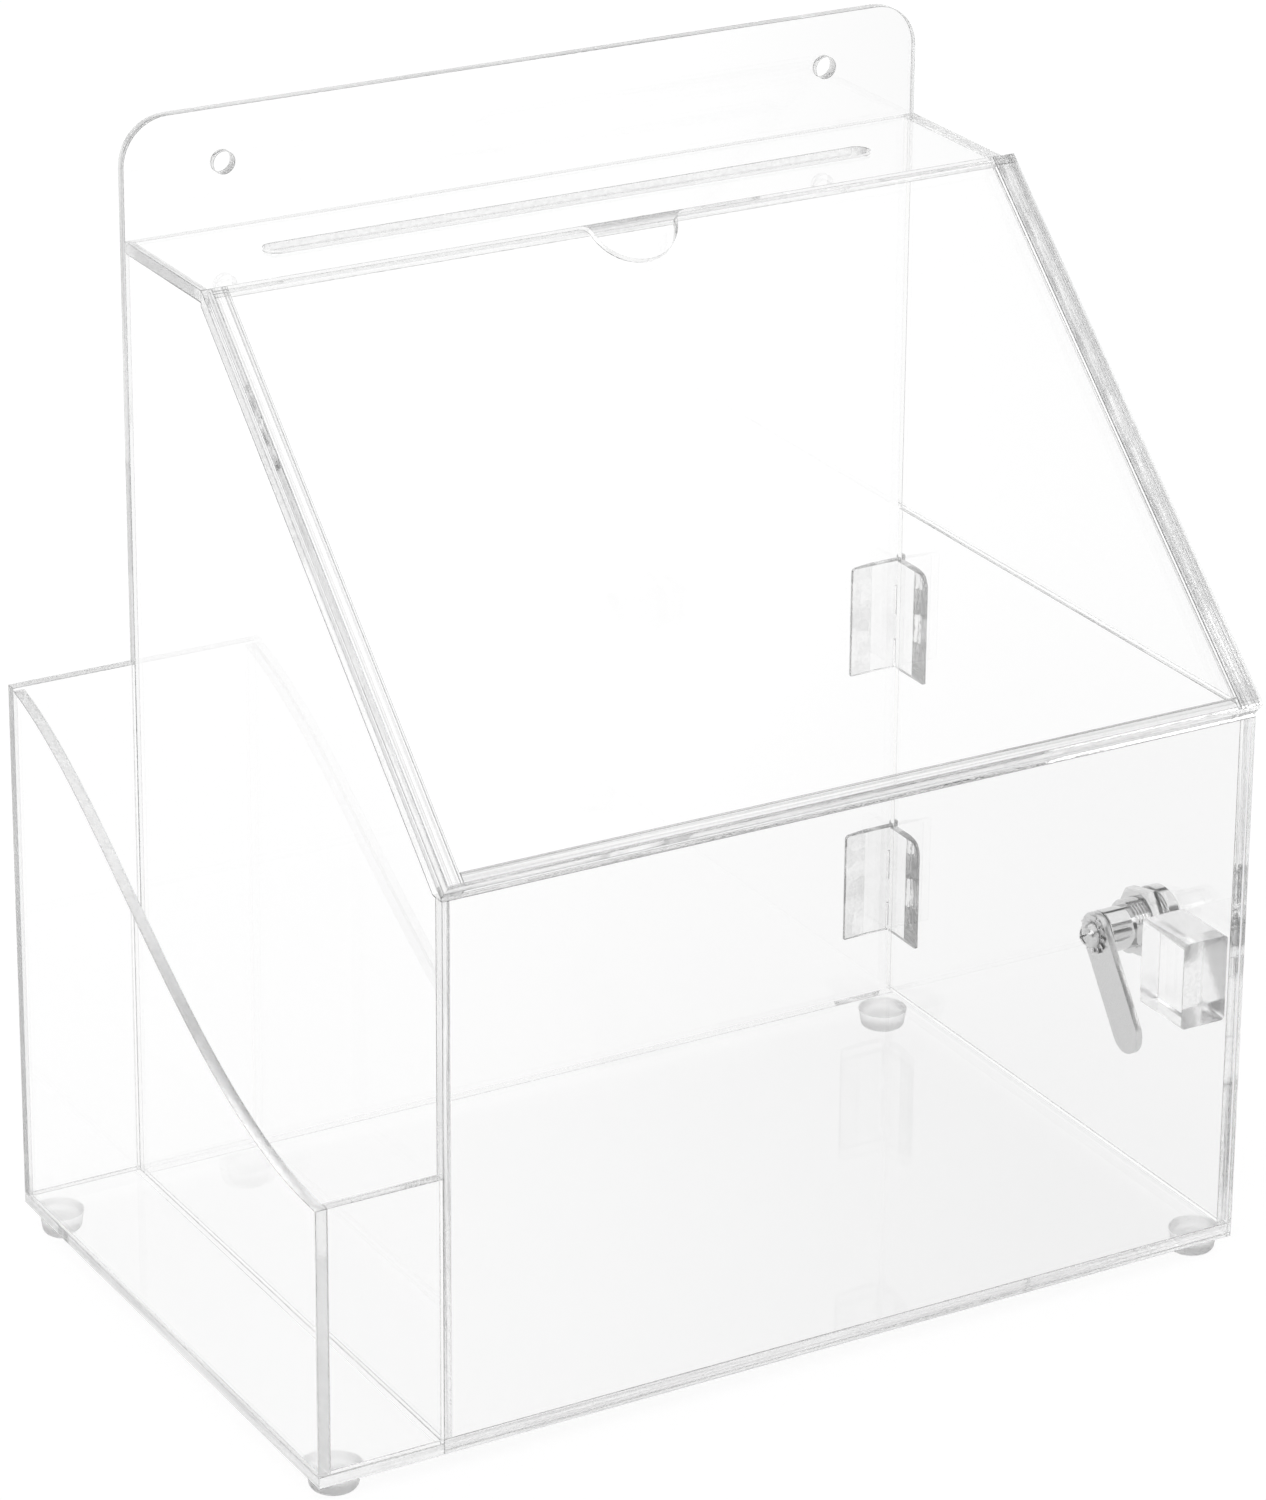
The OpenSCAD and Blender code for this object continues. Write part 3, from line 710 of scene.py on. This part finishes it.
@dataclass
class Studio:
    """White table and surround, soft lamps, and the camera at the photograph's angle."""

    focal_px: float = 5962.0
    centre_px: tuple[float, float] = (748.3, 545.9)
    azimuth_deg: float = 31.02
    elevation_deg: float = 21.16
    roll_deg: float = 0.869
    distance_mm: float = 1923.0
    aim_mm: tuple[float, float, float] = (-31.0, -11.0, 206.7)
    offset_mm: tuple[float, float] = (57.39, 49.17)
    sensor_mm: float = 36.0
    floor_glow: float = 0.92
    right_glow: float = 0.915
    near_glow: float = 0.975
    shadow_share: float = 0.12
    dark_band: float = 0.03
    overhead: float = 1.2
    dark_corner: float = 0.95

    def camera(self) -> None:
        """Places the camera that was solved from the photograph's straight edges."""
        az, el, roll = (math.radians(a) for a in (self.azimuth_deg, self.elevation_deg, self.roll_deg))
        forward = Vector((math.sin(az) * math.cos(el), math.cos(az) * math.cos(el), -math.sin(el)))
        level = forward.cross(Vector((0, 0, 1))).normalized()
        up = level.cross(forward)
        right = math.cos(roll) * level + math.sin(roll) * up
        up = math.cos(roll) * up - math.sin(roll) * level
        place = Vector(self.aim_mm) - self.distance_mm * forward + self.offset_mm[0] * right + self.offset_mm[1] * up
        data = bpy.data.cameras.new("photo_camera")
        data.sensor_fit = "HORIZONTAL"
        data.sensor_width = self.sensor_mm
        data.lens = self.focal_px / PHOTO_WIDTH_PX * self.sensor_mm
        data.shift_x = (PHOTO_WIDTH_PX / 2 - self.centre_px[0]) / PHOTO_WIDTH_PX
        data.shift_y = (self.centre_px[1] - PHOTO_HEIGHT_PX / 2) / PHOTO_WIDTH_PX
        data.clip_start = 0.05
        data.clip_end = 50.0
        camera = bpy.data.objects.new("photo_camera", data)
        axes = Matrix((right, up, -forward)).transposed().to_4x4()
        camera.matrix_world = Matrix.Translation(place * MM) @ axes
        bpy.context.scene.collection.objects.link(camera)
        bpy.context.scene.camera = camera

    def floor(self) -> None:
        """Lays a pale floor that is white to the eye and keeps a trace of the box's shadow; its glow in the box is
        painted darker to the right and near the camera.
        """
        half = 6.0
        data = bpy.data.meshes.new("table")
        data.from_pydata([(-half, -half, 0), (half, -half, 0), (half, half, 0), (-half, half, 0)], [], [(0, 1, 2, 3)])
        table = bpy.data.objects.new("table", data)
        table.location.z = -0.2 * MM
        bpy.context.scene.collection.objects.link(table)
        material, tree, output = new_material("white_table")
        path = add_node(tree, "ShaderNodeLightPath")
        seen = add_node(tree, "ShaderNodeMath", {"operation": "ADD", "use_clamp": True},
                        {0: path.outputs["Is Camera Ray"], 1: path.outputs["Is Glossy Ray"]})
        seen = add_node(tree, "ShaderNodeMath", {"operation": "ADD", "use_clamp": True},
                        {0: seen.outputs["Value"], 1: path.outputs["Is Transmission Ray"]})
        tone = add_node(tree, "ShaderNodeMapRange", {"in:To Min": 0.9, "in:To Max": self.shadow_share},
                        {"Value": seen.outputs["Value"]})
        place = add_node(tree, "ShaderNodeTexCoord")
        share = add_node(tree, "ShaderNodeValue").outputs["Value"]
        share.default_value = self.floor_glow
        # Painted shade: for glossy and transmission rays the glow is dimmed towards the right and towards the camera,
        # darkening the panels there.
        for direction, start, end, first, last in (((0.857, -0.515, 0.0), -0.09, 0.20, 1.0, self.right_glow),
                                                   ((0.515, 0.857, 0.0), 0.40, 0.70, self.near_glow, 1.0)):
            along = add_node(tree, "ShaderNodeVectorMath", {"operation": "DOT_PRODUCT", "in:1": direction},
                             {0: place.outputs["Object"]})
            level = add_node(tree, "ShaderNodeMapRange",
                             {"interpolation_type": "SMOOTHSTEP", "in:From Min": start, "in:From Max": end,
                              "in:To Min": first, "in:To Max": last}, {"Value": along.outputs["Value"]})
            share = add_node(tree, "ShaderNodeMath", {"operation": "MULTIPLY"},
                             {0: share, 1: level.outputs["Result"]}).outputs["Value"]
        fade = add_node(tree, "ShaderNodeMix", {"data_type": "FLOAT", "in:3": self.floor_glow},
                        {0: path.outputs["Is Camera Ray"], 2: share})
        glow = add_node(tree, "ShaderNodeMath", {"operation": "MULTIPLY"},
                        {0: seen.outputs["Value"], 1: fade.outputs[0]})
        plain = add_node(tree, "ShaderNodeBsdfDiffuse", None, {"Color": tone.outputs["Result"]})
        white = add_node(tree, "ShaderNodeEmission", {"in:Color": (1, 1, 1, 1)},
                         {"Strength": glow.outputs["Value"]})
        both = add_node(tree, "ShaderNodeAddShader", None, {0: plain.outputs["BSDF"], 1: white.outputs["Emission"]})
        tree.links.new(both.outputs["Shader"], output.inputs["Surface"])
        data.materials.append(material)

    def surround(self) -> None:
        """Surrounds the box with white light, broken by a dark band at mid height and a dark patch by the camera.

        The flat sheets mirror only a few directions, all of them white; the band and the patch show in metal and
        in round edges, where they draw the dark lines of the photograph.
        """
        world = bpy.data.worlds.new("white_surround")
        world.use_nodes = True
        bpy.context.scene.world = world
        tree = world.node_tree
        tree.nodes.clear()
        output = add_node(tree, "ShaderNodeOutputWorld")
        path = add_node(tree, "ShaderNodeLightPath")
        place = add_node(tree, "ShaderNodeTexCoord")
        parts = add_node(tree, "ShaderNodeSeparateXYZ", None, {0: place.outputs["Generated"]})
        ramp = add_node(tree, "ShaderNodeValToRGB", None, {"Fac": parts.outputs["Z"]})
        stops = ((0.52, 1.0 / self.overhead), (0.57, self.dark_band), (0.68, self.dark_band), (0.75, 1.0))
        while len(ramp.color_ramp.elements) < len(stops):
            ramp.color_ramp.elements.new(0.5)
        for element, (position, level) in zip(ramp.color_ramp.elements, stops):
            element.position = position
            element.color = (level, level, level, 1)
        toward = (-0.48, -0.80, 0.36)
        facing = add_node(tree, "ShaderNodeVectorMath", {"operation": "DOT_PRODUCT", "in:1": toward},
                          {0: place.outputs["Generated"]})
        patch = add_node(tree, "ShaderNodeMapRange",
                         {"interpolation_type": "SMOOTHSTEP", "in:From Min": 0.90, "in:From Max": 0.98,
                          "in:To Min": self.overhead, "in:To Max": self.overhead * (1 - self.dark_corner)},
                         {"Value": facing.outputs["Value"]})
        shaded = add_node(tree, "ShaderNodeBackground", None,
                          {"Color": ramp.outputs["Color"], "Strength": patch.outputs["Result"]})
        white = add_node(tree, "ShaderNodeBackground", {"in:Color": (1, 1, 1, 1), "in:Strength": 1.0})
        mix = add_node(tree, "ShaderNodeMixShader", None,
                       {0: path.outputs["Is Camera Ray"], 1: shaded.outputs["Background"],
                        2: white.outputs["Background"]})
        tree.links.new(mix.outputs["Shader"], output.inputs["Surface"])

    def lamp(self, name: str, place: tuple[float, float, float], size: float, power: float) -> None:
        """Hangs one soft lamp that faces the box.

        Args:
            name: The lamp's name.
            place: Its position in metres.
            size: The length of its side in metres.
            power: Its power in watts.
        """
        data = bpy.data.lights.new(name, "AREA")
        data.size = size
        data.energy = power
        lamp = bpy.data.objects.new(name, data)
        lamp.location = place
        lamp.rotation_euler = (Vector((0, 0, 0.2)) - Vector(place)).to_track_quat("-Z", "Y").to_euler()
        bpy.context.scene.collection.objects.link(lamp)

    def build(self) -> None:
        """Builds the whole studio."""
        scene = bpy.context.scene
        scene.view_settings.view_transform = "Standard"
        scene.cycles.max_bounces = 256
        scene.cycles.transmission_bounces = 256
        scene.cycles.glossy_bounces = 256
        scene.cycles.transparent_max_bounces = 32
        self.camera()
        self.floor()
        self.surround()
        self.lamp("left_lamp", (-1.6, -1.4, 1.8), 1.2, 12.0)


def main() -> None:
    """Builds the studio, dresses every piece of the box and reports each one."""
    logging.basicConfig(level=logging.INFO, format="%(message)s")
    Studio().build()
    finishes = Finishes.build()
    slot_of = {part["node"]: Slot(part["material_slot"]) for part in frame["record"]["subparts"]}
    body_of = {node: Body(body) for body, nodes in frame["record"]["behaviour"]["bodies"].items() for node in nodes}
    softened = SoftenedPieces(finishes)
    lock = CamLock(finishes)
    for name, slot in slot_of.items():
        if name == "lock_body":
            lock.build_body()
        elif name == "cam_washer":
            lock.build_washer()
        elif slot in (Slot.ACRYLIC, Slot.HINGE) or name in ("lock_nut", "cam", "lock_plug"):
            softened.soften(name, body_of[name], slot, edge_of(name, slot))
        else:
            set_finish(frame["nodes"][name], finishes.by_slot[slot])
        LOG.info("dressed %s as %s", name, slot.value)


if __name__ == "__main__":
    main()
